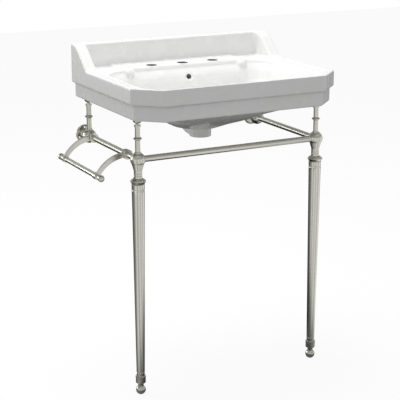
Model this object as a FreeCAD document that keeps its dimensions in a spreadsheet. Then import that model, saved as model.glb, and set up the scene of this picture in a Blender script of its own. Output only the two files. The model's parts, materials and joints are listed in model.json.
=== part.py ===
"""Console sink: a china basin on two fluted metal legs, with rails, support posts and a towel rod.

Millimetres and degrees. X runs to the right, Y towards the wall and Z up. The origin lies on the wall, midway
between the two wall bolts of the basin.
"""
import FreeCAD
import Part
import math
import os
import re
import Sketcher

SIZES = {
    # basin, outside
    "basin_width": 645,
    "basin_depth": 476,
    "rim_height": 893,
    "bolt_drop": 63,
    "corner_cut_x": 71,
    "corner_cut_y": 66,
    "corner_round": 6,
    "band_height": 44,
    "step_height": 4,
    "step_inset": 10.5,
    "apron_height": 41,
    "apron_round": 3,
    # basin, upstand at the wall and its wings
    "splash_rise": 67.5,
    "splash_thick": 18,
    "splash_round": 7,
    "wing_thick": 35,
    "wing_crest": 12,
    "wing_shoulder": 67,
    "wing_brow": 57,
    "wing_brow_drop": 17.2,
    "wing_foot": 104,
    "wing_lift": 8,
    "wing_sweep": 59,
    "wing_toe": 134,
    "wing_dip": 6.4,
    "wing_sink": 8,
    "wing_fillet": 12,
    "wing_fillet_drop": 8,
    # basin, deck
    "lip_width": 7.5,
    "dish_inset": 36.5,
    "dish_drop": 5,
    "dish_start": 1,
    "platform_half": 205,
    "platform_reach": 104,
    "ear_radius": 18,
    "ear_drop": 21,
    "tap_spacing": 101.6,
    "tap_setback": 82,
    "tap_hole": 16,
    "tap_clear": 1,
    "tap_relief": 14,
    "deck_thick": 15,
    # basin, bowl: its edge, and how far each lower level has come from the sump out to that edge
    "bowl_side_margin": 50.5,
    "bowl_front_margin": 21,
    "bowl_back_margin": 108,
    "bowl_depth": 148,
    "bowl_roll": 14,
    "bowl_back_roll": 5,
    "bowl_corner_back": 70,
    "bowl_corner_front": 58,
    "bowl_wall": 9,
    "shoulder_level": 0.223,
    "shoulder_side": 0.957,
    "shoulder_back": 0.646,
    "shoulder_front": 0.973,
    "shoulder_corner": 66,
    "wall_level": 0.493,
    "wall_side": 0.862,
    "wall_back": 0.292,
    "wall_front": 0.909,
    "wall_corner": 73,
    "haunch_level": 0.724,
    "haunch_side": 0.453,
    "haunch_back": 0.125,
    "haunch_front": 0.635,
    "haunch_corner": 85,
    "floor_level": 0.889,
    "floor_side": 0.351,
    "floor_back": 0.03,
    "floor_front": 0.338,
    "floor_corner": 60,
    "sump_radius": 40,
    "sump_corner": 39,
    # basin, the funnel under the bowl, short of the bowl's wall
    "hip_drop": 5,
    "hip_half": 82.5,
    "hip_back": 34,
    "hip_front": 52,
    "hip_corner": 40,
    "waist_drop": 12,
    "waist_half": 58.5,
    "waist_back": 30,
    "waist_front": 40,
    "waist_corner": 31,
    "throat_drop": 18,
    "throat_half": 30,
    "throat_back": 33,
    "throat_front": 34,
    "throat_corner": 27,
    # basin, waste outlet and overflow
    "china_wall": 13,
    "outlet_setback": 196,
    "outlet_hole": 22.5,
    "outlet_length": 53,
    "boss_radius": 32,
    "flange_seat": 32,
    "flange_seat_depth": 4,
    "overflow_drop": 35.5,
    "overflow_setback": 126,
    "overflow_hole": 7.5,
    "overflow_tilt": 24,
    "overflow_depth": 15,
    "overflow_seat": 13.5,
    "overflow_seat_depth": 1.2,
    "duct_width": 30,
    "duct_depth": 8,
    "duct_mouth": 14,
    "duct_top": 29,
    "duct_start": 1,
    "duct_knee": 16,
    "duct_knee_drop": 73,
    "duct_foot": 16,
    "duct_wall": 7,
    "duct_heel": 7,
    # basin, hollow behind the bowl and the wall bolts
    "back_wall": 22,
    "cavity_margin": 72.5,
    "cavity_lean": 12,
    "bolt_spacing": 280,
    "bolt_hole": 8,
    # frame: hubs, rails, wall flanges
    "leg_inset": 35.9,
    "leg_front_inset": 100.5,
    "rear_hub_reach": 38,
    "hub_drop": 114,
    "hub_radius": 20.8,
    "hub_flat": 18,
    "hub_waist": 12,
    "neck_radius": 11.5,
    "neck_start": 31,
    "neck_end": 34,
    "socket_depth": 12,
    "front_rail_radius": 9,
    "side_rail_radius": 8.5,
    "rail_wall": 1.5,
    "flange_radius": 27.5,
    "flange_thick": 6,
    "flange_edge": 1,
    "flange_bevel": 2,
    "flange_rim": 5,
    "flange_web": 3,
    "flange_boss": 10,
    "stub_radius": 7.5,
    "flange_screw_circle": 38,
    "flange_screw_hole": 2.5,
    "flange_screw_count": 3,
    "set_screw_radius": 2,
    "set_screw_place": 14,
    "set_screw_sink": 0.8,
    "fit": 0.05,
    # legs
    "collar_height": 35,
    "collar_flare": 22.5,
    "collar_flare_rise": 8.5,
    "collar_flare_height": 9,
    "collar_foot": 16.5,
    "collar_groove": 0.9,
    "collar_groove_width": 1.4,
    "collar_groove_drop": 5,
    "collar_groove_pitch": 5.5,
    "leg_top_radius": 18.2,
    "leg_foot_radius": 11.7,
    "leg_wall": 2.5,
    "flute_count": 12,
    "flute_top_radius": 5.2,
    "flute_top_depth": 1.5,
    "flute_foot_radius": 3.3,
    "flute_foot_depth": 1.0,
    "flute_top_margin": 16,
    "flute_foot_margin": 12,
    "leg_stud_radius": 5,
    "leg_stud_rise": 14,
    "leg_stud_length": 75,
    "leg_insert_height": 30,
    # ferrules and feet
    "ferrule_height": 25,
    "ferrule_ring": 15,
    "ferrule_ring_height": 3,
    "ferrule_ring_drop": 1,
    "ferrule_cup": 14.25,
    "ferrule_cup_drop": 6.3,
    "ferrule_cup_height": 13.7,
    "ferrule_spigot": 18,
    "foot_neck": 8,
    "foot_ball": 14,
    "foot_flat": 5,
    "foot_height": 31,
    "foot_gap": 0.3,
    "foot_stud_radius": 4,
    "foot_stud_length": 32,
    # support posts
    "post_radius": 7,
    "post_base_radius": 8.5,
    "post_base_height": 3,
    "post_base_cone": 1.5,
    "post_spigot": 5,
    "post_spigot_length": 9,
    "post_ring_radius": 12,
    "post_ring_height": 9,
    "post_ring_band": 1.4,
    "post_link_radius": 4,
    "post_link_length": 5,
    "post_upper_length": 28,
    "lock_ring_radius": 9.3,
    "lock_ring_height": 5,
    "cap_gap": 4.3,
    "cap_height": 11.7,
    "cap_radius": 12.5,
    "cap_neck_radius": 5.5,
    "cap_rim_height": 3,
    "cap_stud_radius": 4,
    "cap_stud_length": 16,
    "cap_travel": 4,
    "pad_thick": 2,
    "pad_radius": 10.5,
    # towel rack
    "arm_front_setback": 71.5,
    "arm_rear_setback": 29,
    "arm_radius": 105,
    "arm_sweep": 60,
    "arm_thick": 9,
    "arm_root": 15,
    "arm_tip": 11,
    "clamp_radius": 12.5,
    "clamp_width": 18,
    "clamp_bead_radius": 14,
    "clamp_bead_width": 3.5,
    "clamp_screw_radius": 1.5,
    "rod_radius": 7.5,
    "rod_eye_radius": 9.5,
    "rod_eye_width": 11,
    "rod_spigot": 5,
    "rod_spigot_tip": 7,
    "rod_collar_radius": 10,
    "rod_collar_width": 6,
    "finial_radius": 9.5,
    "finial_neck": 5.5,
    "finial_ring": 6.8,
    "finial_ring_width": 1.5,
    "finial_ring_cone": 1,
    "finial_reach": 22.5,
}

# heights from the wall bolts
RIM = "bolt_drop"
FLOOR = "(bolt_drop - rim_height)"
STEP_TOP = "(bolt_drop - band_height)"
APRON_TOP = "(bolt_drop - band_height - step_height)"
UNDERSIDE = "(bolt_drop - band_height - step_height - apron_height)"
HUB_LEVEL = f"({UNDERSIDE} - hub_drop)"
DECK_UNDERSIDE = "(bolt_drop - deck_thick)"
SUMP_LEVEL = "(bolt_drop - bowl_depth)"
BOSS_END = "(bolt_drop - bowl_depth - outlet_length)"

# places on plan
HALF_WIDTH = "basin_width / 2"
HUB_X = "(basin_width / 2 - leg_inset)"
LEG_Y = "(leg_front_inset - basin_depth)"
REAR_Y = "(-rear_hub_reach)"
BOWL_HALF = "(basin_width / 2 - bowl_side_margin)"
BOWL_BACK = "(-bowl_back_margin)"
BOWL_FRONT = "(bowl_front_margin - basin_depth)"
SUMP_BACK = "(sump_radius - outlet_setback)"
SUMP_FRONT = "(-sump_radius - outlet_setback)"

# heights above the floor
HUB_HEIGHT = f"({HUB_LEVEL} - {FLOOR})"
LEG_TOP = f"({HUB_HEIGHT} - neck_end - collar_height)"
LEG_FOOT = "(foot_height + ferrule_height)"

# the rolled edge of the bowl: depth below the rim and reach beyond the bowl, as shares of its radius
BOWL_EDGE = ((-0.07, 1.14), (0.07, 0.86), (0.36, 0.36), (0.93, 0.04))
BOWL_LEVELS = ("shoulder", "wall", "haunch", "floor")
FUNNEL_LEVELS = ("hip", "waist", "throat")
BOWL_STEPS = 3
ROUND_STEPS = 3
CUT_OVER = "1"
DISH_OVER = "0.5"

RIGHT, LEFT = 1, -1
EAST = FreeCAD.Vector(1, 0, 0)
WEST = FreeCAD.Vector(-1, 0, 0)
BACKWARD = FreeCAD.Vector(0, 1, 0)
FORWARD = FreeCAD.Vector(0, -1, 0)
UP = FreeCAD.Vector(0, 0, 1)
DOWN = FreeCAD.Vector(0, 0, -1)

doc = FreeCAD.newDocument("console_sink")
sheet = doc.addObject("Spreadsheet::Sheet", "sizes")
for row, (size_name, size) in enumerate(SIZES.items(), start=1):
    sheet.set(f"A{row}", size_name)
    sheet.set(f"B{row}", str(size))
    sheet.setAlias(f"B{row}", size_name)
doc.recompute()
SIZE_WORDS = re.compile(r"\b(" + "|".join(SIZES) + r")\b")


def bound(text):
    """The expression with each size read from the sheet."""
    return SIZE_WORDS.sub(r"sizes.\1", text)


def number(text):
    """What an expression of sizes comes to."""
    return float(sheet.evalExpression(text))


def bind_place(item, place):
    for axis, text in zip("xyz", place):
        item.setExpression(f"Placement.Base.{axis}", bound(text))


def turn_to(item, direction):
    item.Placement = FreeCAD.Placement(FreeCAD.Vector(), FreeCAD.Rotation(UP, direction))


def add_body(label, place=("0", "0", "0"), facing=UP):
    body = doc.addObject("PartDesign::Body", label)
    body.Label = label
    turn_to(body, facing)
    bind_place(body, place)
    return body


# ---- sketches ----

def origin_item(body, role):
    return next(item for item in body.Origin.OriginFeatures if item.Role == role)


def add_sketch(body, role, offset="0"):
    """An empty sketch on one of the body's own planes, moved along that plane's normal."""
    sketch = body.newObject("Sketcher::SketchObject", "outline")
    sketch.AttachmentSupport = (origin_item(body, role), [""])
    sketch.MapMode = "FlatFace"
    sketch.setExpression("AttachmentOffset.Base.z", bound(offset))
    return sketch


def bind_constraint(sketch, kind, places, text):
    index = sketch.addConstraint(Sketcher.Constraint(kind, *places, number(text)))
    sketch.setExpression(f"Constraints[{index}]", bound(text))


def pin_point(sketch, edge, vertex, x, y):
    bind_constraint(sketch, "DistanceX", (-1, 1, edge, vertex), x)
    bind_constraint(sketch, "DistanceY", (-1, 1, edge, vertex), y)


def add_arc(sketch, start, end, radius, side):
    """An arc from start to end; its centre is on the left of the way there for side 1, else on the right."""
    half = (end - start) * 0.5
    reach = math.sqrt(number(radius) ** 2 - half.Length ** 2)
    centre = start + half + FreeCAD.Vector(-half.y, half.x, 0).normalize() * reach * side
    first, last = (start, end) if side > 0 else (end, start)
    begin = math.atan2(first.y - centre.y, first.x - centre.x)
    finish = math.atan2(last.y - centre.y, last.x - centre.x)
    circle = Part.Circle(centre, UP, number(radius))
    edge = sketch.addGeometry(Part.ArcOfCircle(circle, begin, finish), False)
    bind_constraint(sketch, "Radius", (edge,), radius)
    return (edge, 1, 2) if side > 0 else (edge, 2, 1)


def draw(sketch, points):
    """A closed outline through (x, y) points; a point (x, y, radius, side) starts an arc."""
    places = [FreeCAD.Vector(number(x), number(y), 0) for x, y, *_ in points]
    edges = []
    for start, end, (_, _, *arc) in zip(places, places[1:] + places[:1], points):
        if arc:
            edges.append(add_arc(sketch, start, end, *arc))
        else:
            edges.append((sketch.addGeometry(Part.LineSegment(start, end), False), 1, 2))
    for (edge, _, finish), (following, begin, _) in zip(edges, edges[1:] + edges[:1]):
        sketch.addConstraint(Sketcher.Constraint("Coincident", edge, finish, following, begin))
    for (edge, begin, _), (x, y, *_) in zip(edges, points):
        pin_point(sketch, edge, begin, x, y)
    return sketch


def draw_circle(sketch, x, y, radius):
    circle = Part.Circle(FreeCAD.Vector(number(x), number(y), 0), UP, number(radius))
    edge = sketch.addGeometry(circle, False)
    bind_constraint(sketch, "Radius", (edge,), radius)
    pin_point(sketch, edge, 3, x, y)
    return sketch


def draw_rounded(sketch, half, back, front, back_round, front_round):
    """A rectangle with rounded corners, even about x = 0."""
    return draw(sketch, [
        (f"{front_round} - {half}", front),
        (f"{half} - {front_round}", front, front_round, 1),
        (half, f"{front} + {front_round}"),
        (half, f"{back} - {back_round}", back_round, 1),
        (f"{half} - {back_round}", back),
        (f"{back_round} - {half}", back, back_round, 1),
        (f"-{half}", f"{back} - {back_round}"),
        (f"-{half}", f"{front} + {front_round}", front_round, 1),
    ])


# ---- features ----

def pad(body, sketch, length, middle=False):
    feature = body.newObject("PartDesign::Pad", "pad")
    feature.Profile = sketch
    feature.SideType = "Symmetric" if middle else "One side"
    feature.setExpression("Length", bound(length))


def pocket(body, sketch, length):
    """Cut a sketch to both sides of its plane, length in all."""
    feature = body.newObject("PartDesign::Pocket", "pocket")
    feature.Profile = sketch
    feature.SideType = "Symmetric"
    feature.setExpression("Length", bound(length))


def loft(body, kind, sketches, straight=False):
    feature = body.newObject(f"PartDesign::{kind}Loft", "loft")
    feature.Profile = sketches[0]
    feature.Sections = sketches[1:]
    feature.Ruled = straight
    return feature


def turned(body, points):
    """A solid of revolution about the body's Z from (radius, height) points."""
    feature = body.newObject("PartDesign::Revolution", "turned")
    sketch = draw(add_sketch(body, "XZ_Plane"), points)
    feature.Profile = sketch
    feature.ReferenceAxis = (sketch, ["V_Axis"])
    feature.Angle = 360


def cylinder(body, kind, radius, length, base=("0", "0", "0"), direction=UP):
    feature = body.newObject(f"PartDesign::{kind}Cylinder", "cylinder")
    turn_to(feature, direction)
    bind_place(feature, base)
    feature.setExpression("Radius", bound(radius))
    feature.setExpression("Height", bound(length))
    return feature


def around(body, features, count):
    """Repeat the features about the body's Z."""
    pattern = body.newObject("PartDesign::PolarPattern", "around")
    pattern.Originals = features
    pattern.Axis = (origin_item(body, "Z_Axis"), [""])
    pattern.Angle = 360
    pattern.setExpression("Occurrences", bound(count))
    body.Tip = pattern


def mirrored(side, text):
    """An X place on the right or the left side."""
    return text if side == RIGHT else f"-{text}"


# ---- basin ----

def console_outline(body, level, inset="0", back="0"):
    """The plan of the basin: a rectangle with its front corners cut off, moved in by inset."""
    run = "sqrt(corner_cut_x^2 + corner_cut_y^2)"
    side = f"({HALF_WIDTH} - {inset})"
    front = f"({inset} - basin_depth)"
    cut_y = f"(corner_cut_y - basin_depth + {inset} * ({run} - corner_cut_y) / corner_cut_x)"
    cut_x = f"({HALF_WIDTH} - corner_cut_x - {inset} * ({run} - corner_cut_x) / corner_cut_y)"
    side_round = f"(corner_round * corner_cut_x / ({run} + corner_cut_y))"
    front_round = f"(corner_round * corner_cut_y / ({run} + corner_cut_x))"
    lean_x = f"corner_cut_x / {run}"
    lean_y = f"corner_cut_y / {run}"
    near_side = (f"({side} - {side_round} * {lean_x})", f"{cut_y} - {side_round} * {lean_y}")
    near_front = (f"({cut_x} + {front_round} * {lean_x})", f"{front} + {front_round} * {lean_y}")
    return draw(add_sketch(body, "XY_Plane", level), [
        (f"-{side}", back),
        (f"-{side}", f"{cut_y} + {side_round}", "corner_round", 1),
        (f"-{near_side[0]}", near_side[1]),
        (f"-{near_front[0]}", near_front[1], "corner_round", 1),
        (f"-({cut_x} - {front_round})", front),
        (f"{cut_x} - {front_round}", front, "corner_round", 1),
        near_front,
        (*near_side, "corner_round", 1),
        (side, f"{cut_y} + {side_round}"),
        (side, back),
    ])


def basin_block(body):
    """The outside: the upper band, the step under it and the apron with its rounded lower edge."""
    pad(body, console_outline(body, STEP_TOP), "band_height")
    step = [console_outline(body, STEP_TOP), console_outline(body, APRON_TOP, "step_inset")]
    loft(body, "Additive", step, straight=True)
    round_start = f"({UNDERSIDE} + apron_round)"
    pad(body, console_outline(body, round_start, "step_inset"), f"{APRON_TOP} - {round_start}")
    turn = 90 / ROUND_STEPS
    sections = []
    for count in range(ROUND_STEPS + 1):
        drop = f"apron_round * sin({turn * count})"
        inset = f"(step_inset + apron_round * (1 - cos({turn * count})))"
        sections.append(console_outline(body, f"{round_start} - {drop}", inset))
    loft(body, "Additive", sections, straight=True)


def level_section(name):
    """A named level of the bowl: depth, half width, back, front and the corners' radii."""
    return (
        f"bowl_depth * {name}_level",
        f"(sump_radius + {name}_side * ({BOWL_HALF} - sump_radius))",
        f"({SUMP_BACK} + {name}_back * ({BOWL_BACK} - {SUMP_BACK}))",
        f"({SUMP_FRONT} + {name}_front * ({BOWL_FRONT} - {SUMP_FRONT}))",
        f"{name}_corner",
        f"{name}_corner",
    )


def edge_section(depth, reach):
    """A level of the rolled edge of the bowl."""
    return (
        f"(bowl_roll * ({depth}))",
        f"({BOWL_HALF} + bowl_roll * {reach})",
        f"({BOWL_BACK} + bowl_back_roll * {reach})",
        f"({BOWL_FRONT} - bowl_roll * {reach})",
        f"(bowl_corner_back + bowl_roll * {reach})",
        f"(bowl_corner_front + bowl_roll * {reach})",
    )


def mixed(shares, texts):
    return "(" + " + ".join(f"({share:.6f}) * {text}" for share, text in zip(shares, texts)) + ")"


def smoothed(sections):
    """The sections with more between them, on a smooth curve through them all."""
    ends = [sections[0], *sections, sections[-1]]
    result = []
    for four in zip(ends, ends[1:], ends[2:], ends[3:]):
        result.append(four[1])
        for count in range(1, BOWL_STEPS):
            way = count / BOWL_STEPS
            shares = (
                (-way + 2 * way ** 2 - way ** 3) / 2,
                (2 - 5 * way ** 2 + 3 * way ** 3) / 2,
                (way + 4 * way ** 2 - 3 * way ** 3) / 2,
                (way ** 3 - way ** 2) / 2,
            )
            result.append(tuple(mixed(shares, texts) for texts in zip(*four)))
    result.append(sections[-1])
    return result


def draw_section(body, section, grow="0"):
    """Draw a level of the bowl; grown and dropped by a wall, it is the outside of the bowl."""
    depth, half, back, front, corner_back, corner_front = section
    sketch = add_sketch(body, "XY_Plane", f"{RIM} - {depth} - {grow}")
    return draw_rounded(sketch, f"({half} + {grow})", f"({back} + {grow})", f"({front} - {grow})",
                        f"({corner_back} + {grow})", f"({corner_front} + {grow})")


def funnel_section(name):
    """A named level of the funnel that leads to the outlet boss."""
    return (
        f"(bowl_depth + {name}_drop)",
        f"{name}_half",
        f"({name}_back - outlet_setback)",
        f"(-{name}_front - outlet_setback)",
        f"{name}_corner",
        f"{name}_corner",
    )


LOWER_LEVELS = [level_section(name) for name in BOWL_LEVELS]
SUMP = ("bowl_depth", "sump_radius", SUMP_BACK, SUMP_FRONT, "sump_corner", "sump_corner")


def bowl_outside(body):
    """The bowl's underside, which runs down as a funnel to the outlet boss."""
    levels = LOWER_LEVELS + [funnel_section(name) for name in FUNNEL_LEVELS]
    sections = [draw_section(body, section, "bowl_wall") for section in smoothed(levels)]
    loft(body, "Additive", sections, straight=True)
    boss = ("0", "-outlet_setback", BOSS_END)
    cylinder(body, "Additive", "boss_radius", "outlet_length - china_wall / 2", boss)


def upstand(body):
    """The wall upstand and the wing at each end of it."""
    low = f"({RIM} - wing_sink)"
    top = f"({RIM} + splash_rise)"
    splash = draw(add_sketch(body, "YZ_Plane"), [
        ("0", low),
        ("0", top),
        ("splash_round - splash_thick", top, "splash_round", 1),
        ("-splash_thick", f"{top} - splash_round"),
        ("-splash_thick", low),
    ])
    pad(body, splash, "basin_width", middle=True)
    for start in (f"{HALF_WIDTH} - wing_thick", f"-{HALF_WIDTH}"):
        wing = draw(add_sketch(body, "YZ_Plane", start), [
            ("0", low),
            ("0", top),
            ("-wing_crest", top, "wing_shoulder", 1),
            ("-wing_brow", f"{top} - wing_brow_drop"),
            ("-wing_foot", f"{RIM} + wing_lift", "wing_sweep", -1),
            ("-wing_toe", f"{RIM} - wing_dip"),
            ("-wing_toe", low),
        ])
        pad(body, wing, "wing_thick")
    corner = f"({HALF_WIDTH} - wing_thick)"
    for side in (RIGHT, LEFT):
        fillet = draw(add_sketch(body, "XY_Plane", low), [
            (mirrored(side, corner), "-splash_thick / 2"),
            (mirrored(side, f"({corner} - wing_fillet)"), "-splash_thick / 2"),
            (mirrored(side, f"({corner} - wing_fillet)"), "-splash_thick", "wing_fillet", -side),
            (mirrored(side, corner), "-splash_thick - wing_fillet"),
        ])
        pad(body, fillet, "wing_sink + splash_rise - wing_fillet_drop")


def deck(body):
    """The dished deck inside the lip, with the raised platform for the taps."""
    slope = "(dish_inset - lip_width) / dish_drop"
    over_inset = f"(lip_width - {DISH_OVER} * {slope})"
    top = console_outline(body, f"{RIM} + {DISH_OVER}", over_inset, "-splash_thick")
    bottom = console_outline(body, f"{RIM} - dish_drop", "dish_inset", "-splash_thick - dish_start")
    loft(body, "Subtractive", [top, bottom], straight=True)
    platform = draw(add_sketch(body, "XY_Plane", f"{RIM} - 2 * dish_drop"), [
        ("-platform_half", "-platform_reach"),
        ("platform_half", "-platform_reach"),
        ("platform_half", "-splash_thick / 2"),
        ("-platform_half", "-splash_thick / 2"),
    ])
    pad(body, platform, "2 * dish_drop")


def rear_hollow(body):
    """The hollow behind the bowl, open downwards, from which the taps and the wall bolts are fastened."""
    low = f"{UNDERSIDE} - {CUT_OVER}"
    hollow = draw(add_sketch(body, "YZ_Plane"), [
        ("-back_wall", low),
        ("-back_wall", DECK_UNDERSIDE),
        ("-tap_setback - tap_hole - tap_clear", DECK_UNDERSIDE),
        ("-tap_setback - tap_hole - tap_clear", f"{DECK_UNDERSIDE} - tap_relief"),
        ("-bowl_back_margin - cavity_lean", low),
    ])
    pocket(body, hollow, "basin_width - 2 * cavity_margin")


# the overflow duct, seen from the side: its rear face at the top, at the knee and at the outlet boss
DUCT_TOP = ("(duct_start - bowl_back_margin)", f"({RIM} - duct_top)")
DUCT_KNEE = ("(-duct_knee - bowl_back_margin)", f"({RIM} - duct_knee_drop)")
DUCT_FOOT = ("(-outlet_setback + boss_radius + duct_foot)", f"({BOSS_END} + china_wall)")


def overflow_rib(body):
    """The rib behind the bowl that holds the overflow duct, down to the outlet boss."""
    rib = draw(add_sketch(body, "YZ_Plane"), [
        (f"{DUCT_KNEE[0]} + duct_wall", DUCT_KNEE[1]),
        (f"{DUCT_KNEE[0]} - duct_depth - duct_wall", DUCT_KNEE[1]),
        (SUMP_BACK, f"{SUMP_LEVEL} - china_wall / 2"),
        ("-outlet_setback + china_wall", f"{SUMP_LEVEL} - china_wall / 2"),
        ("-outlet_setback + china_wall", BOSS_END),
        (f"{DUCT_FOOT[0]} + duct_wall", BOSS_END),
        (f"{DUCT_KNEE[0]} + duct_wall", f"{BOSS_END} + duct_heel"),
    ])
    pad(body, rib, "duct_width + 2 * duct_wall", middle=True)


def overflow_duct(body):
    """From the overflow hole in the back of the bowl down to the outlet bore."""
    mouth = f"{DUCT_FOOT[1]} + duct_mouth"
    duct = draw(add_sketch(body, "YZ_Plane"), [
        (f"{DUCT_TOP[0]} - duct_depth", DUCT_TOP[1]),
        (f"{DUCT_KNEE[0]} - duct_depth", DUCT_KNEE[1]),
        (f"{DUCT_FOOT[0]} - duct_depth", mouth),
        ("-outlet_setback + outlet_hole / 2", mouth),
        ("-outlet_setback + outlet_hole / 2", DUCT_FOOT[1]),
        DUCT_FOOT,
        DUCT_KNEE,
        DUCT_TOP,
    ])
    pocket(body, duct, "duct_width")
    tilt = number("overflow_tilt")
    inward = FreeCAD.Vector(0, math.cos(math.radians(tilt)), -math.sin(math.radians(tilt)))
    for radius, depth in (("overflow_seat", "overflow_seat_depth"), ("overflow_hole", "overflow_depth")):
        start_y = "-overflow_setback - overflow_seat * cos(overflow_tilt)"
        start_z = f"{RIM} - overflow_drop + overflow_seat * sin(overflow_tilt)"
        cylinder(body, "Subtractive", radius, f"overflow_seat + {depth}", ("0", start_y, start_z), inward)


def bowl(body):
    edge = [edge_section(depth, reach) for depth, reach in BOWL_EDGE]
    sections = edge[:-1] + smoothed([edge[-1], *LOWER_LEVELS, SUMP])
    loft(body, "Subtractive", [draw_section(body, section) for section in sections], straight=True)


def platform_ears(body):
    """The rounded front corners of the platform, which run down into the back of the bowl."""
    for side in (RIGHT, LEFT):
        ear = body.newObject("PartDesign::AdditiveEllipsoid", "ear")
        centre_x = mirrored(side, "(platform_half - ear_radius)")
        bind_place(ear, (centre_x, "-platform_reach", f"{RIM} - ear_drop"))
        ear.setExpression("Radius1", bound("ear_drop"))
        ear.setExpression("Radius2", bound("ear_radius"))
        ear.setExpression("Radius3", bound("ear_radius"))


def basin_holes(body):
    """The outlet with its flange seat, the three tap holes and the two wall bolt holes."""
    outlet = ("0", "-outlet_setback", f"{BOSS_END} - {CUT_OVER}")
    cylinder(body, "Subtractive", "outlet_hole", "outlet_length + china_wall", outlet)
    seat = ("0", "-outlet_setback", f"{SUMP_LEVEL} - flange_seat_depth")
    cylinder(body, "Subtractive", "flange_seat", "2 * flange_seat_depth", seat)
    for column in (-1, 0, 1):
        tap = (f"{column} * tap_spacing", "-tap_setback", f"{RIM} + {CUT_OVER}")
        cylinder(body, "Subtractive", "tap_hole", f"deck_thick + 2 * {CUT_OVER}", tap, DOWN)
    for side in (RIGHT, LEFT):
        bolt = (mirrored(side, "bolt_spacing / 2"), CUT_OVER, "0")
        cylinder(body, "Subtractive", "bolt_hole", f"back_wall + 2 * {CUT_OVER}", bolt, FORWARD)


def basin():
    body = add_body("basin")
    basin_block(body)
    bowl_outside(body)
    deck(body)
    upstand(body)
    bowl(body)
    platform_ears(body)
    rear_hollow(body)
    overflow_rib(body)
    overflow_duct(body)
    basin_holes(body)
    return body


# ---- hubs, rails and wall flanges ----

def hub_sockets(body, directions):
    """Blind sockets for the rails; each direction has its radius."""
    for direction, radius in directions:
        start = [f"{axis} * (hub_radius - socket_depth)" for axis in direction]
        cylinder(body, "Subtractive", f"{radius} + fit", "hub_radius", start, direction)


def set_screw_hole(body, place, direction):
    start = [text if not axis else "0" for text, axis in zip(place, direction)]
    cylinder(body, "Subtractive", "set_screw_radius + fit", "hub_radius", start, direction)


def post_socket(body):
    top = ("0", "0", "hub_flat")
    cylinder(body, "Subtractive", "post_spigot + fit", "post_spigot_length + fit", top, DOWN)


FLAT_RADIUS = "sqrt(hub_radius^2 - hub_flat^2)"
WAIST_RADIUS = "sqrt(hub_radius^2 - hub_waist^2)"


def front_hub(name, side):
    """Ball with a flat top for the post and a neck below for the leg collar."""
    body = add_body(f"hub_front_{name}", (mirrored(side, HUB_X), LEG_Y, HUB_LEVEL))
    turned(body, [
        ("0", "-neck_end"),
        ("neck_radius", "-neck_end"),
        ("neck_radius", "-neck_start"),
        (WAIST_RADIUS, "-hub_waist", "hub_radius", 1),
        (FLAT_RADIUS, "hub_flat"),
        ("0", "hub_flat"),
    ])
    inward = WEST if side == RIGHT else EAST
    hub_sockets(body, [(inward, "front_rail_radius"), (BACKWARD, "side_rail_radius")])
    post_socket(body)
    stud_top = ("0", "0", "-leg_stud_rise")
    cylinder(body, "Subtractive", "leg_stud_radius + fit", "neck_end", stud_top, DOWN)
    set_screw_hole(body, (f"{int(inward.x)} * set_screw_place", "0", "0"), BACKWARD)
    set_screw_hole(body, ("0", "set_screw_place", "0"), UP)


def rear_hub(name, side):
    body = add_body(f"hub_rear_{name}", (mirrored(side, HUB_X), REAR_Y, HUB_LEVEL))
    turned(body, [
        ("0", "-hub_radius", "hub_radius", 1),
        (FLAT_RADIUS, "hub_flat"),
        ("0", "hub_flat"),
    ])
    inward = WEST if side == RIGHT else EAST
    hub_sockets(body, [(FORWARD, "side_rail_radius"), (BACKWARD, "stub_radius")])
    post_socket(body)
    for place in ("set_screw_place", "-set_screw_place"):
        set_screw_hole(body, ("0", place, "0"), inward)


def tube(label, place, facing, radius, wall, length):
    body = add_body(label, place, facing)
    cylinder(body, "Additive", radius, length)
    bore = ("0", "0", f"-{CUT_OVER}")
    cylinder(body, "Subtractive", f"{radius} - {wall}", f"{length} + 2 * {CUT_OVER}", bore)


SOCKET_FLOOR = "(hub_radius - socket_depth)"


def rails():
    start = (f"-({HUB_X} - {SOCKET_FLOOR})", LEG_Y, HUB_LEVEL)
    tube("front_rail", start, EAST, "front_rail_radius", "rail_wall", f"2 * ({HUB_X} - {SOCKET_FLOOR})")
    for name, side in (("left", LEFT), ("right", RIGHT)):
        start = (mirrored(side, HUB_X), f"{LEG_Y} + {SOCKET_FLOOR}", HUB_LEVEL)
        length = f"({REAR_Y} - {LEG_Y} - 2 * {SOCKET_FLOOR})"
        tube(f"side_rail_{name}", start, BACKWARD, "side_rail_radius", "rail_wall", length)


def wall_flange(name, side):
    """A round dished rose against the wall, its boss and the stub that enters the rear hub."""
    body = add_body(f"wall_flange_{name}", (mirrored(side, HUB_X), "0", HUB_LEVEL), FORWARD)
    dish = "(flange_radius - flange_rim)"
    reach = "(rear_hub_reach - hub_radius)"
    turned(body, [
        ("0", "0"),
        ("flange_radius - flange_edge", "0"),
        ("flange_radius", "flange_edge"),
        ("flange_radius", "flange_thick - flange_bevel"),
        ("flange_radius - flange_rim / 2", "flange_thick"),
        (dish, "flange_web"),
        ("flange_boss + flange_web", "flange_web"),
        ("flange_boss", "flange_thick"),
        ("flange_boss", f"{reach} - fit"),
        ("stub_radius", f"{reach} - fit"),
        ("stub_radius", f"rear_hub_reach - {SOCKET_FLOOR}"),
        ("0", f"rear_hub_reach - {SOCKET_FLOOR}"),
    ])
    place = ("0", "flange_screw_circle / 2", f"-{CUT_OVER}")
    hole = cylinder(body, "Subtractive", "flange_screw_hole", f"flange_thick + 2 * {CUT_OVER}", place)
    around(body, [hole], "flange_screw_count")


# ---- legs ----

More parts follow.
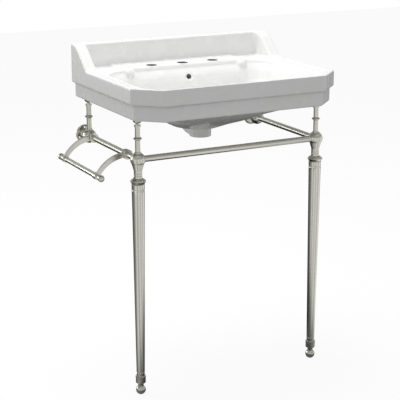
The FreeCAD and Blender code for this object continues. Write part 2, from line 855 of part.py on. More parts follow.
def leg_collar(name, side):
    """Neck with two fine grooves, flaring out over the top of the leg."""
    body = add_body(f"leg_collar_{name}", (mirrored(side, HUB_X), LEG_Y, f"{HUB_LEVEL} - neck_end"))
    bore = "leg_stud_radius + fit"
    profile = [(bore, "-collar_height"), (bore, "0"), ("neck_radius", "0")]
    for groove in (0, 1):
        top = f"(-collar_groove_drop - {groove} * collar_groove_pitch)"
        profile += [
            ("neck_radius", top),
            ("neck_radius - collar_groove", f"{top} - collar_groove_width / 2"),
            ("neck_radius", f"{top} - collar_groove_width"),
        ]
    flare = "(collar_flare_rise - collar_height)"
    profile += [
        ("neck_radius", f"{flare} + collar_flare_height", "collar_flare", -1),
        ("collar_flare - collar_groove", f"{flare} + collar_groove_width"),
        ("collar_flare", flare),
        ("collar_foot", "-collar_height"),
    ]
    turned(body, profile)


def leg_radius(level):
    """The outer radius of the tapered leg at a height above the floor."""
    taper = f"(leg_top_radius - leg_foot_radius) / ({LEG_TOP} - {LEG_FOOT})"
    return f"(leg_foot_radius + ({level} - {LEG_FOOT}) * {taper})"


def leg(name, side):
    body = add_body(f"leg_{name}", (mirrored(side, HUB_X), LEG_Y, FLOOR))
    turned(body, [
        ("leg_foot_radius - leg_wall", LEG_FOOT),
        ("leg_foot_radius", LEG_FOOT),
        ("leg_top_radius", LEG_TOP),
        ("leg_top_radius - leg_wall", LEG_TOP),
    ])
    high = f"({LEG_TOP} - flute_top_margin)"
    low = f"({LEG_FOOT} + flute_foot_margin)"
    top_out = f"{leg_radius(high)} + flute_top_radius - flute_top_depth"
    foot_out = f"{leg_radius(low)} + flute_foot_radius - flute_foot_depth"
    top = draw_circle(add_sketch(body, "XY_Plane", high), "0", top_out, "flute_top_radius")
    foot = draw_circle(add_sketch(body, "XY_Plane", low), "0", foot_out, "flute_foot_radius")
    flute = loft(body, "Subtractive", [top, foot])
    ends = []
    for out, level, radius in ((top_out, high, "flute_top_radius"), (foot_out, low, "flute_foot_radius")):
        end = body.newObject("PartDesign::SubtractiveSphere", "flute_end")
        bind_place(end, ("0", out, level))
        end.setExpression("Radius", bound(radius))
        ends.append(end)
    around(body, [flute, *ends], "flute_count")


def leg_joinery(name, side):
    """The plug in the top of the leg and the stud that ties hub, collar and leg together."""
    top = "(-neck_end - collar_height)"
    place = (mirrored(side, HUB_X), LEG_Y, HUB_LEVEL)
    insert = add_body(f"leg_insert_{name}", place)
    bore = "leg_stud_radius + fit"
    insert_low = f"({LEG_TOP} - leg_insert_height)"
    turned(insert, [
        (bore, f"{top} - leg_insert_height"),
        (f"{leg_radius(insert_low)} - leg_wall - fit", f"{top} - leg_insert_height"),
        ("leg_top_radius - leg_wall - fit", top),
        (bore, top),
    ])
    stud = add_body(f"leg_stud_{name}", place)
    cylinder(stud, "Additive", "leg_stud_radius", "leg_stud_length", ("0", "0", "-leg_stud_rise"), DOWN)


def leg_ferrule(name, side):
    """Ring and cup under the leg, with a spigot up into it and a bore for the foot's screw."""
    body = add_body(f"leg_ferrule_{name}", (mirrored(side, HUB_X), LEG_Y, FLOOR))
    bore = "foot_stud_radius + fit"
    spigot_top = f"({LEG_FOOT} + ferrule_spigot)"
    ring_top = f"({LEG_FOOT} - ferrule_ring_drop)"
    cup_top = f"({LEG_FOOT} - ferrule_cup_drop)"
    turned(body, [
        (bore, "foot_height"),
        ("foot_neck", "foot_height"),
        ("ferrule_cup", f"{cup_top} - ferrule_cup_height"),
        ("ferrule_cup", cup_top),
        ("leg_foot_radius", f"({cup_top} + {ring_top} - ferrule_ring_height) / 2"),
        ("ferrule_ring", f"{ring_top} - ferrule_ring_height"),
        ("ferrule_ring", ring_top),
        ("leg_foot_radius", LEG_FOOT),
        ("leg_foot_radius - leg_wall - fit", LEG_FOOT),
        (f"{leg_radius(spigot_top)} - leg_wall - fit", spigot_top),
        (bore, spigot_top),
    ])


def foot(name, side):
    """Ball foot with a small flat, on the screw that levels the basin."""
    body = add_body(f"foot_{name}", (mirrored(side, HUB_X), LEG_Y, FLOOR))
    centre = "sqrt(foot_ball^2 - foot_flat^2)"
    neck_root = f"({centre} + sqrt(foot_ball^2 - foot_neck^2))"
    neck_top = "(foot_height - foot_gap)"
    turned(body, [
        ("0", "0"),
        ("foot_flat", "0", "foot_ball", 1),
        ("foot_ball", centre, "foot_ball", 1),
        ("foot_neck", neck_root),
        ("foot_neck", neck_top),
        ("foot_stud_radius", neck_top),
        ("foot_stud_radius", f"{neck_top} + foot_stud_length"),
        ("0", f"{neck_top} + foot_stud_length"),
    ])


# ---- support posts, heights above the hub centre ----
PAD_BOTTOM = "(hub_drop - pad_thick)"
CAP_BOTTOM = f"({PAD_BOTTOM} - cap_height)"
LOCK_TOP = f"({CAP_BOTTOM} - cap_gap)"
UPPER_TOP = f"({LOCK_TOP} - lock_ring_height)"
RING_TOP = f"({UPPER_TOP} - post_upper_length)"
RING_BOTTOM = f"({RING_TOP} - post_ring_height)"
LINK_TOP = f"({RING_TOP} + post_link_length)"


def support_post(name, place):
    """A post on a hub, the cap that is screwed up against the basin and the ring that locks it."""
    link_bore = "post_link_radius + fit"
    cap_bore = "cap_stud_radius + fit"
    turned(add_body(f"post_lower_{name}", place), [
        ("0", "hub_flat - post_spigot_length"),
        ("post_spigot", "hub_flat - post_spigot_length"),
        ("post_spigot", "hub_flat"),
        ("post_base_radius", "hub_flat"),
        ("post_base_radius", "hub_flat + post_base_height"),
        ("post_radius", "hub_flat + post_base_height + post_base_cone"),
        ("post_radius", RING_BOTTOM),
        ("post_link_radius", RING_BOTTOM),
        ("post_link_radius", LINK_TOP),
        ("0", LINK_TOP),
    ])
    turned(add_body(f"post_ring_{name}", place), [
        (link_bore, RING_BOTTOM),
        ("post_radius", RING_BOTTOM),
        ("post_ring_radius", f"({RING_BOTTOM} + {RING_TOP} - post_ring_band) / 2"),
        ("post_ring_radius", f"({RING_BOTTOM} + {RING_TOP} + post_ring_band) / 2"),
        ("post_radius", RING_TOP),
        (link_bore, RING_TOP),
    ])
    cap_hole_end = f"({CAP_BOTTOM} - cap_stud_length - cap_travel - fit)"
    upper = add_body(f"post_upper_{name}", place)
    turned(upper, [
        (link_bore, RING_TOP),
        ("post_radius", RING_TOP),
        ("post_radius", UPPER_TOP),
        (cap_bore, UPPER_TOP),
        (cap_bore, cap_hole_end),
        ("0", cap_hole_end),
        ("0", f"{LINK_TOP} + fit"),
        (link_bore, f"{LINK_TOP} + fit"),
    ])
    turned(add_body(f"lock_ring_{name}", place), [
        (cap_bore, UPPER_TOP),
        ("lock_ring_radius", UPPER_TOP),
        ("lock_ring_radius", LOCK_TOP),
        (cap_bore, LOCK_TOP),
    ])
    turned(add_body(f"support_cap_{name}", place), [
        ("0", f"{CAP_BOTTOM} - cap_stud_length"),
        ("cap_stud_radius", f"{CAP_BOTTOM} - cap_stud_length"),
        ("cap_stud_radius", CAP_BOTTOM),
        ("cap_neck_radius", CAP_BOTTOM, "cap_height", 1),
        ("cap_radius", f"{PAD_BOTTOM} - cap_rim_height"),
        ("cap_radius", PAD_BOTTOM),
        ("0", PAD_BOTTOM),
    ])
    support_pad = add_body(f"support_pad_{name}", place)
    cylinder(support_pad, "Additive", "pad_radius", "pad_thick", ("0", "0", PAD_BOTTOM))


# ---- towel rack on the left side rail ----
ROD_X = "(-arm_radius * sin(arm_sweep))"
ROD_Z = "(-arm_radius * (1 - cos(arm_sweep)))"
ARM_FRONT_Y = f"({LEG_Y} + arm_front_setback)"
ARM_REAR_Y = f"({REAR_Y} - arm_rear_setback)"
RACK_X = f"(-{HUB_X})"


def arm_point(radius):
    """Where a circle about the arm's centre meets the rod end of the arm."""
    return f"-({radius}) * sin(arm_sweep)", f"({radius}) * cos(arm_sweep) - arm_radius"


def towel_arm(name, y):
    """A clamp with a bead at each end, an arched arm and the eye for the rod."""
    body = add_body(f"towel_arm_{name}", (RACK_X, y, HUB_LEVEL))
    cylinder(body, "Additive", "clamp_radius", "clamp_width", ("0", "-clamp_width / 2", "0"), BACKWARD)
    for bead_y in ("-clamp_width / 2", "clamp_width / 2 - clamp_bead_width"):
        cylinder(body, "Additive", "clamp_bead_radius", "clamp_bead_width", ("0", bead_y, "0"), BACKWARD)
    outer = "arm_radius + (arm_root + arm_tip) / 4"
    inner = "arm_radius - (arm_root + arm_tip) / 4"
    arch = draw(add_sketch(body, "XZ_Plane"), [
        ("0", "arm_root / 2", outer, 1),
        arm_point("arm_radius + arm_tip / 2"),
        (*arm_point("arm_radius - arm_tip / 2"), inner, -1),
        ("0", "-arm_root / 2"),
    ])
    pad(body, arch, "arm_thick", middle=True)
    eye = (ROD_X, "-rod_eye_width / 2", ROD_Z)
    cylinder(body, "Additive", "rod_eye_radius", "rod_eye_width", eye, BACKWARD)
    rail = ("0", "-clamp_width", "0")
    cylinder(body, "Subtractive", "side_rail_radius + fit", "2 * clamp_width", rail, BACKWARD)
    spigot = (ROD_X, "-rod_eye_width", ROD_Z)
    cylinder(body, "Subtractive", "rod_spigot + fit", "2 * rod_eye_width", spigot, BACKWARD)
    cylinder(body, "Subtractive", "clamp_screw_radius + fit", "2 * clamp_radius", direction=EAST)


def towel_rod():
    """The rod with a thinner spigot at each end, its two collars and its two ball finials."""
    x = f"({RACK_X} + {ROD_X})"
    z = f"({HUB_LEVEL} + {ROD_Z})"
    inside = "rod_eye_width / 2"
    start = f"({ARM_FRONT_Y} + {inside})"
    length = f"({ARM_REAR_Y} - {ARM_FRONT_Y} - rod_eye_width)"
    tip = "(rod_eye_width + rod_spigot_tip)"
    rod = add_body("towel_rod", (x, start, z), BACKWARD)
    cylinder(rod, "Additive", "rod_radius", length)
    cylinder(rod, "Additive", "rod_spigot", f"{length} + 2 * {tip}", ("0", "0", f"-{tip}"))
    tube("rod_collar_front", (x, start, z), BACKWARD, "rod_collar_radius",
         "(rod_collar_radius - rod_radius - fit)", "rod_collar_width")
    tube("rod_collar_rear", (x, f"{ARM_REAR_Y} - {inside}", z), FORWARD, "rod_collar_radius",
         "(rod_collar_radius - rod_radius - fit)", "rod_collar_width")
    root = "sqrt(finial_radius^2 - finial_neck^2)"
    for name, y, facing in (("front", f"{ARM_FRONT_Y} - {inside}", FORWARD),
                            ("rear", f"{ARM_REAR_Y} + {inside}", BACKWARD)):
        finial = add_body(f"towel_finial_{name}", (x, y, z), facing)
        turned(finial, [
            ("0", "0"),
            ("finial_ring", "0"),
            ("finial_ring", "finial_ring_width"),
            ("finial_neck", "finial_ring_width + finial_ring_cone"),
            ("finial_neck", f"finial_reach - {root}", "finial_radius", 1),
            ("0", "finial_reach + finial_radius"),
        ])
        cylinder(finial, "Subtractive", "rod_spigot + fit", "rod_spigot_tip + fit")


# ---- set screws, grouped ----

def screw(place, direction, radius, length):
    item = doc.addObject("Part::Cylinder", "screw")
    turn_to(item, direction)
    bind_place(item, place)
    item.setExpression("Radius", bound(radius))
    item.setExpression("Height", bound(length))
    return item


def group(label, items):
    compound = doc.addObject("Part::Compound", label)
    compound.Label = label
    compound.Links = items


def hub_screw(side, y, offset_x, offset_y, rail_radius, direction):
    """A set screw from the rail's surface out to just under the ball's surface."""
    start = f"({rail_radius} + fit)"
    end = "(sqrt(hub_radius^2 - set_screw_place^2) - set_screw_sink)"
    x = f"{mirrored(side, HUB_X)} + {offset_x} + {int(direction.x)} * {start}"
    z = f"{HUB_LEVEL} + {int(direction.z)} * {start}"
    place = (x, f"{y} + {offset_y} + {int(direction.y)} * {start}", z)
    return screw(place, direction, "set_screw_radius", f"{end} - {start}")


def set_screws():
    items = []
    for side, inward in ((LEFT, EAST), (RIGHT, WEST)):
        along = f"{int(inward.x)} * set_screw_place"
        items.append(hub_screw(side, LEG_Y, along, "0", "front_rail_radius", BACKWARD))
        items.append(hub_screw(side, LEG_Y, "0", "set_screw_place", "side_rail_radius", UP))
        items.append(hub_screw(side, REAR_Y, "0", "-set_screw_place", "side_rail_radius", inward))
        items.append(hub_screw(side, REAR_Y, "0", "set_screw_place", "stub_radius", inward))
    group("hub_set_screws", items)
    clamps = []
    for y in (ARM_FRONT_Y, ARM_REAR_Y):
        start = f"{RACK_X} + side_rail_radius + fit"
        length = "clamp_radius - side_rail_radius - fit - set_screw_sink"
        clamps.append(screw((start, y, HUB_LEVEL), EAST, "clamp_screw_radius", length))
    group("clamp_set_screws", clamps)


# ---- build, check and export ----

def check_document():
    for item in doc.Objects:
        if "Invalid" in item.State or "Error" in item.State:
            raise RuntimeError(f"{item.Label} ({item.Name}) failed: {item.State}")


def nodes():
    kinds = ("PartDesign::Body", "Part::Compound")
    return [item for item in doc.Objects if item.TypeId in kinds]


def export():
    os.makedirs("parts", exist_ok=True)
    for item in nodes():
        if item.Shape.isNull() or not item.Shape.isValid():
            raise RuntimeError(f"{item.Label} has no valid shape")
    for item in nodes():
        item.Shape.exportStep(f"parts/{item.Label}.step")
        print(item.Label, len(item.Shape.Solids), round(item.Shape.Volume))


basin()
rails()
for side_name, hand in (("left", LEFT), ("right", RIGHT)):
    front_hub(side_name, hand)
    rear_hub(side_name, hand)
    wall_flange(side_name, hand)
    leg_collar(side_name, hand)
    leg(side_name, hand)
    leg_joinery(side_name, hand)
    leg_ferrule(side_name, hand)
    foot(side_name, hand)
    support_post(f"front_{side_name}", (mirrored(hand, HUB_X), LEG_Y, HUB_LEVEL))
    support_post(f"rear_{side_name}", (mirrored(hand, HUB_X), REAR_Y, HUB_LEVEL))
towel_arm("front", ARM_FRONT_Y)
towel_arm("rear", ARM_REAR_Y)
towel_rod()
set_screws()
doc.recompute()
check_document()
export()
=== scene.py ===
"""Dresses the console sink: glazed china, satin nickel, soft studio light and the photo's camera.

Metres, in the frame of the CAD model: +X to the right, +Y into the wall, +Z up.
"""
import json
import math

import bpy
import numpy as np
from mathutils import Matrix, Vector

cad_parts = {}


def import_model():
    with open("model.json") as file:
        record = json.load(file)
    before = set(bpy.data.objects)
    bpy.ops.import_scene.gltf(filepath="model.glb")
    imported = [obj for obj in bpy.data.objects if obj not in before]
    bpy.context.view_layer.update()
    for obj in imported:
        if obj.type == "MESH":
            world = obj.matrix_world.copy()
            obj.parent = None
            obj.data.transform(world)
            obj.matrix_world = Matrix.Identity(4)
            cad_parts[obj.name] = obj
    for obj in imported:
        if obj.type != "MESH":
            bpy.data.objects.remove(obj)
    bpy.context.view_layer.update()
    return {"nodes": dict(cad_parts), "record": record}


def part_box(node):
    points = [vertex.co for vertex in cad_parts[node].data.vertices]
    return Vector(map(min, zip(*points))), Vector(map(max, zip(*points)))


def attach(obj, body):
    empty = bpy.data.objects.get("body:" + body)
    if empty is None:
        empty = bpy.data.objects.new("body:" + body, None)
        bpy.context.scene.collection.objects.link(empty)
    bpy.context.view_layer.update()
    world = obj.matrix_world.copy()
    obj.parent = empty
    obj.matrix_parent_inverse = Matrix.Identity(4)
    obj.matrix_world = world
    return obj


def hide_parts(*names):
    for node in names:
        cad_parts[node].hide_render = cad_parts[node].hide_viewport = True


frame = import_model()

MOUNTS = {mount["name"]: mount for mount in frame["record"]["mounts"]}

# camera, solved from the photo's three tap holes and the basin's edges
CAMERA_PLACE = (-1.6600, -3.3431, 0.6521)
CAMERA_YAW = 27.80
CAMERA_PITCH = 15.51
CAMERA_LENS = 111.15
CAMERA_SENSOR = 36
CAMERA_CLIP = (0.05, 60)

# china: the even mesh, and how far the glaze rounds its edges
VOXEL = 0.0017
SMOOTH_FACTOR = 0.5
EDGE_PASSES = 6
SOFT_PASSES = 45
WEIGHT_STEPS = 8
# how far in from the basin's outline the soft forms start and are in full, at the band under the
# rim and at the apron below it, and the heights between which one gives way to the other
BAND_EDGE = (0.004, 0.013)
APRON_EDGE = (0.030, 0.042)
BAND_LEVEL = (0.012, 0.028)
CORNER_CUT = (0.071, 0.066)
# crisp rings around the holes: no softening within the first reach, in full past the second
TAP_CRISP = (0.024, 0.034)
OUTLET_CRISP = (0.040, 0.050)
OVERFLOW_CRISP = (0.019, 0.027)
# the overflow's mouth, its tilt in degrees, its radius and start, and the level where its wall ends
OVERFLOW_PLACE = (0.0, -0.126, 0.0275)
OVERFLOW_TILT = 24
OVERFLOW_BORE = (0.0078, 0.0014)
OVERFLOW_FLOOR = 0.005
# the walls of the tap holes: how far below the deck they start, and the slack of their radius
BORE_DEPTH = 0.0005
BORE_SLACK = 0.0012

# colours
CHINA_WHITE = (0.905, 0.905, 0.90)
CHINA_SHADE = (0.893, 0.893, 0.887)
# the walls of the holes: unglazed clay, made darker grey as painted shade
BORE_CLAY_AND_SHADE = (0.23, 0.23, 0.225)
BORE_CLAY_AND_SHADE_DARK = (0.16, 0.16, 0.155)
NICKEL = (0.70, 0.695, 0.63)
NICKEL_DARK = (0.66, 0.655, 0.585)
ZINC = (0.52, 0.53, 0.55)
ZINC_DARK = (0.42, 0.43, 0.44)
RUBBER = (0.06, 0.06, 0.06)
RUBBER_DARK = (0.035, 0.035, 0.035)

# textures: blobs per metre and detail of each noise
CHINA_CLOUD = (7, 2)
CHINA_GLOSS = (30, 3)
CHINA_RIPPLE = (30, 2)
CLAY_GRAIN = (500, 4)
METAL_GRAIN = (1400, 2)
METAL_STREAK = (260, 3)
RUBBER_GRAIN = (600, 4)
# where in its noise a finish leaves its dark tone and reaches its light one
CHINA_STOPS = (0.3, 0.7)
CLAY_STOPS = (0.35, 0.65)
METAL_STOPS = (0.35, 0.6)
RUBBER_STOPS = (0.3, 0.7)
# scale of the grain along a tube and around a turned piece: the smaller, the longer the grain
ALONG = 0.03
AROUND = 0.05

# gloss, and the depth of each bump
CHINA_ROUGHNESS = (0.24, 0.3)
CHINA_COAT = 0.35
CHINA_COAT_ROUGHNESS = 0.05
CHINA_IOR = 1.45
CHINA_BUMP = 0.00003
CLAY_ROUGHNESS = 0.9
CLAY_BUMP = 0.0002
NICKEL_ROUGHNESS = (0.2, 0.3)
ZINC_ROUGHNESS = (0.3, 0.42)
METAL_BUMP = 0.000012
RUBBER_ROUGHNESS = 0.8
RUBBER_BUMP = 0.0001

# studio
FLOOR_SIZE = 14
BACKGROUND = 1.0
FLOOR_GLOW = 0.9
FLOOR_SEEN = 0.95
FLOOR_BOUNCE = 0.33
SKY_LIGHT = 0.55
# what reflections meet: the room by the height of the ray (0 level, 1 straight up), in front and
# behind, and the factor and offset by which the ray's Y blends from one to the other
ROOM_FRONT = ((0.0, 0.9), (0.16, 0.7), (0.3, 0.34), (0.5, 0.4), (0.76, 0.62), (1.0, 0.26))
ROOM_BACK = ((0.0, 0.75), (0.12, 0.62), (0.5, 0.5), (0.66, 0.1), (0.9, 0.1), (1.0, 0.26))
ROOM_BLEND = (1.5, 0.5)
# and the floor around the sink, painted in strips of light and dark for reflections, by the turn
# from -X over -Y, +X and +Y back to -X
FLOOR_RING = (
    (0.0, 0.35), (0.06, 1.0), (0.125, 0.4), (0.19, 1.0), (0.25, 0.5), (0.32, 1.0), (0.38, 0.45),
    (0.44, 1.0), (0.52, 1.0), (0.57, 0.25), (0.62, 0.03), (0.77, 0.03), (0.9, 0.12), (1.0, 0.35))
FLOOR_MIDDLE = (0, -0.25, 0)
# the painted shadow under the sink in reflections: its darkest level, and the reach over which it
# fades
FLOOR_PAINTED_SHADOW = 0.12
FLOOR_PAINTED_SHADOW_REACH = (0.30, 0.75)
# lamps: place, side and power
LAMP_TARGET = (0, -0.2, 0)
TOP_LAMP = ((-0.30, 0.30, 2.4), 1.6, 56)
LEFT_LAMP = ((-2.1, 1.9, 0.1), 0.9, 17)

FLOOR_LEVEL = min(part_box("foot_left")[0].z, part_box("foot_right")[0].z)
BASIN_LOW, BASIN_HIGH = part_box("basin")


# ---- node helpers ----

def new_material(name):
    material = bpy.data.materials.new(name)
    material.use_nodes = True
    return material, material.node_tree.nodes, material.node_tree.links


def noise(nodes, links, scale, detail, stretch=(1, 1, 1)):
    """A noise texture in the object's own metres, scale in blobs per metre."""
    place = nodes.new("ShaderNodeTexCoord")
    mapping = nodes.new("ShaderNodeMapping")
    mapping.inputs["Scale"].default_value = stretch
    texture = nodes.new("ShaderNodeTexNoise")
    texture.inputs["Scale"].default_value = scale
    texture.inputs["Detail"].default_value = detail
    links.new(place.outputs["Object"], mapping.inputs["Vector"])
    links.new(mapping.outputs["Vector"], texture.inputs["Vector"])
    return texture.outputs["Fac"]


def ramp(nodes, links, source, stops, colours):
    """Colours by source, one at each stop."""
    item = nodes.new("ShaderNodeValToRGB")
    elements = item.color_ramp.elements
    while len(elements) < len(stops):
        elements.new(0.5)
    for element, stop, colour in zip(elements, stops, colours):
        element.position = stop
        element.color = (*colour, 1)
    links.new(source, item.inputs["Fac"])
    return item.outputs["Color"]


def grey(level):
    return (level, level, level)


def grey_ramp(nodes, links, source, steps):
    """Greys by source: steps are (stop, level) pairs."""
    stops, levels = zip(*steps)
    return ramp(nodes, links, source, stops, [grey(level) for level in levels])


def spread(nodes, links, source, low, high):
    """Maps 0..1 to low..high."""
    item = nodes.new("ShaderNodeMapRange")
    item.inputs["To Min"].default_value = low
    item.inputs["To Max"].default_value = high
    links.new(source, item.inputs["Value"])
    return item.outputs["Result"]


def calculate(nodes, links, operation, *values):
    """A Math node on sockets and numbers."""
    item = nodes.new("ShaderNodeMath")
    item.operation = operation
    for socket, value in zip(item.inputs, values):
        if isinstance(value, bpy.types.NodeSocket):
            links.new(value, socket)
        else:
            socket.default_value = value
    return item.outputs[0]


def bump(nodes, links, shader, source, depth):
    item = nodes.new("ShaderNodeBump")
    item.inputs["Strength"].default_value = 1.0
    item.inputs["Distance"].default_value = depth
    links.new(source, item.inputs["Height"])
    links.new(item.outputs["Normal"], shader.inputs["Normal"])


# ---- materials ----

def china():
    """White glaze: slightly uneven, with a hard clear coat."""
    material, nodes, links = new_material("china_glaze")
    shader = nodes["Principled BSDF"]
    cloud = noise(nodes, links, *CHINA_CLOUD)
    colour = ramp(nodes, links, cloud, CHINA_STOPS, (CHINA_SHADE, CHINA_WHITE))
    links.new(colour, shader.inputs["Base Color"])
    gloss = spread(nodes, links, noise(nodes, links, *CHINA_GLOSS), *CHINA_ROUGHNESS)
    links.new(gloss, shader.inputs["Roughness"])
    shader.inputs["Coat Weight"].default_value = CHINA_COAT
    shader.inputs["Coat Roughness"].default_value = CHINA_COAT_ROUGHNESS
    shader.inputs["IOR"].default_value = CHINA_IOR
    bump(nodes, links, shader, noise(nodes, links, *CHINA_RIPPLE), CHINA_BUMP)
    return material


def dull(name, colours, stops, roughness, texture, depth):
    """A matt, grainy surface, dark colour first."""
    material, nodes, links = new_material(name)
    shader = nodes["Principled BSDF"]
    grain = noise(nodes, links, *texture)
    links.new(ramp(nodes, links, grain, stops, colours), shader.inputs["Base Color"])
    shader.inputs["Roughness"].default_value = roughness
    bump(nodes, links, shader, grain, depth)
    return material


def bore_clay_and_shade():
    """The unglazed clay wall of a hole, painted darker as painted shade, as grey as the holes look
    in the photo.
    """
    colours = (BORE_CLAY_AND_SHADE_DARK, BORE_CLAY_AND_SHADE)
    return dull("bore_clay_and_shade", colours, CLAY_STOPS, CLAY_ROUGHNESS, CLAY_GRAIN, CLAY_BUMP)


def pad_rubber():
    colours = (RUBBER_DARK, RUBBER)
    return dull("rubber", colours, RUBBER_STOPS, RUBBER_ROUGHNESS, RUBBER_GRAIN, RUBBER_BUMP)


def brushed(name, colours, roughness, stretch):
    """Satin metal with a fine grain, dark colour first; stretch is small along the grain."""
    material, nodes, links = new_material(name)
    shader = nodes["Principled BSDF"]
    shader.inputs["Metallic"].default_value = 1.0
    grain = noise(nodes, links, *METAL_GRAIN, stretch)
    streak = noise(nodes, links, *METAL_STREAK, stretch)
    links.new(ramp(nodes, links, streak, METAL_STOPS, colours), shader.inputs["Base Color"])
    links.new(spread(nodes, links, grain, *roughness), shader.inputs["Roughness"])
    bump(nodes, links, shader, grain, METAL_BUMP)
    return material


def paint(item, *materials):
    item.data.materials.clear()
    for material in materials:
        item.data.materials.append(material)


# ---- basin ----

def apply_modifiers(piece):
    bpy.context.view_layer.update()
    depsgraph = bpy.context.evaluated_depsgraph_get()
    final = bpy.data.meshes.new_from_object(piece.evaluated_get(depsgraph))
    piece.modifiers.clear()
    piece.data = final


def rise(values, start, end):
    """0 up to start, 1 from end on, and a smooth step between them."""
    way = np.clip((values - start) / (end - start), 0, 1)
    return way * way * (3 - 2 * way)


def rows_of(items, key):
    """The vectors that the mesh's items hold under key, one in each row."""
    values = np.empty(len(items) * 3)
    items.foreach_get(key, values)
    return values.reshape(-1, 3)


def reach_of(points, mount):
    """How far each point lies from the mount's upright axis."""
    return np.hypot(points[:, 0] - mount["pos_m"][0], points[:, 1] - mount["pos_m"][1])


def inset_of(points):
    """How far each point lies in from the basin's plan outline."""
    side = BASIN_HIGH.x - np.abs(points[:, 0])
    front = points[:, 1] - BASIN_LOW.y
    cut_x, cut_y = CORNER_CUT
    corner = (side * cut_y + front * cut_x - cut_x * cut_y) / math.hypot(cut_x, cut_y)
    return np.minimum.reduce([side, front, corner, BASIN_HIGH.y - points[:, 1]])


def softness(points):
    """How soft the glaze makes each point: 0 at outer edges and holes, 1 on the inner forms."""
    inset = inset_of(points)
    band = rise(points[:, 2], *BAND_LEVEL)
    soft = band * rise(inset, *BAND_EDGE) + (1 - band) * rise(inset, *APRON_EDGE)
    for name, mount in MOUNTS.items():
        if name.startswith("tap_hole"):
            soft *= rise(reach_of(points, mount), *TAP_CRISP)
        elif name == "waste_outlet":
            soft *= rise(reach_of(points, mount), *OUTLET_CRISP)
    return soft * rise(np.linalg.norm(points - OVERFLOW_PLACE, axis=1), *OVERFLOW_CRISP)


def weigh(piece, name, weights):
    """A vertex group with the weights in even steps."""
    group = piece.vertex_groups.new(name=name)
    steps = np.rint(weights * WEIGHT_STEPS).astype(int)
    for step in range(1, WEIGHT_STEPS + 1):
        group.add(np.flatnonzero(steps == step).tolist(), step / WEIGHT_STEPS, "REPLACE")


def smooth(piece, passes, group=""):
    item = piece.modifiers.new("soften", "SMOOTH")
    item.factor = SMOOTH_FACTOR
    item.iterations = passes
    item.vertex_group = group


def line_holes(piece, index):
    """Gives the walls of the tap holes and of the overflow the material at index."""
    centres = rows_of(piece.data.polygons, "center")
    inside = np.zeros(len(centres), bool)
    for name, mount in MOUNTS.items():
        if name.startswith("tap_hole"):
            radius = mount["dims"]["r_mm"] / 1000 + BORE_SLACK
            top = mount["pos_m"][2] + mount["dims"]["length_mm"] / 1000 / 2
            inside |= (reach_of(centres, mount) < radius) & (centres[:, 2] < top - BORE_DEPTH)
    tilt = math.radians(OVERFLOW_TILT)
    axis = np.array((0, math.cos(tilt), -math.sin(tilt)))
    depth = (centres - OVERFLOW_PLACE) @ axis
    reach = np.linalg.norm(centres - OVERFLOW_PLACE - depth[:, None] * axis, axis=1)
    radius, start = OVERFLOW_BORE
    inside |= (reach < radius) & (depth > start) & (centres[:, 2] > OVERFLOW_FLOOR)
    slots = np.zeros(len(centres), np.int32)
    slots[inside] = index
    piece.data.polygons.foreach_set("material_index", slots)


def glazed_basin(glaze, clay_and_shade):
    """The basin with the soft edges that a thick glaze leaves."""
    piece = bpy.data.objects.new("glazed_basin", frame["nodes"]["basin"].data.copy())
    bpy.context.scene.collection.objects.link(piece)
    remesh = piece.modifiers.new("even", "REMESH")
    remesh.mode = "VOXEL"
    remesh.voxel_size = VOXEL
    remesh.use_smooth_shade = True
    smooth(piece, EDGE_PASSES)
    apply_modifiers(piece)
    weigh(piece, "soft", softness(rows_of(piece.data.vertices, "co")))
    smooth(piece, SOFT_PASSES, "soft")
    apply_modifiers(piece)
    # glaze, and for the walls of the holes unglazed clay darkened as painted shade
    paint(piece, glaze, clay_and_shade)
    line_holes(piece, 1)
    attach(piece, "root")
    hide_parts("basin")


# ---- metal, rubber ----

def dress_nodes():
    """Gives each CAD node that stays the finish of its slot."""
    stretches = {
        "x": (ALONG, 1, 1),
        "y": (1, ALONG, 1),
        "z": (1, 1, ALONG),
        "turned": (AROUND, AROUND, 1),
    }
    nickel = {key: brushed(f"nickel_{key}", (NICKEL_DARK, NICKEL), NICKEL_ROUGHNESS, stretch)
              for key, stretch in stretches.items()}
    finishes = {
        "steel": brushed("zinc", (ZINC_DARK, ZINC), ZINC_ROUGHNESS, (1, 1, 1)),
        "pad": pad_rubber(),
    }
    for row in frame["record"]["subparts"]:
        node = row["node"]
        item = frame["nodes"][node]
        if row["material_slot"] == "nickel":
            if node == "front_rail":
                key = "x"
            elif node.startswith(("side_rail", "towel_rod", "rod_collar")):
                key = "y"
            elif node in ("leg_left", "leg_right"):
                key = "z"
            else:
                key = "turned"
            paint(item, nickel[key])
        elif row["material_slot"] in finishes:
            paint(item, finishes[row["material_slot"]])


# ---- studio ----

def ray_share(nodes, links, *kinds):
    """1 for rays of the kinds, such as Is Camera Ray."""
    path = nodes.new("ShaderNodeLightPath")
    share = path.outputs[kinds[0]]
    for kind in kinds[1:]:
        share = calculate(nodes, links, "MAXIMUM", share, path.outputs[kind])
    return share


def mix_shaders(nodes, links, share, first, second):
    item = nodes.new("ShaderNodeMixShader")
    if isinstance(share, bpy.types.NodeSocket):
        links.new(share, item.inputs["Fac"])
    else:
        item.inputs["Fac"].default_value = share
    links.new(first, item.inputs[1])
    links.new(second, item.inputs[2])
    return item.outputs[0]


def background(nodes, links, strength, colour=None):
    item = nodes.new("ShaderNodeBackground")
    item.inputs["Color"].default_value = (1, 1, 1, 1)
    item.inputs["Strength"].default_value = strength
    if colour:
        links.new(colour, item.inputs["Color"])
    return item.outputs[0]


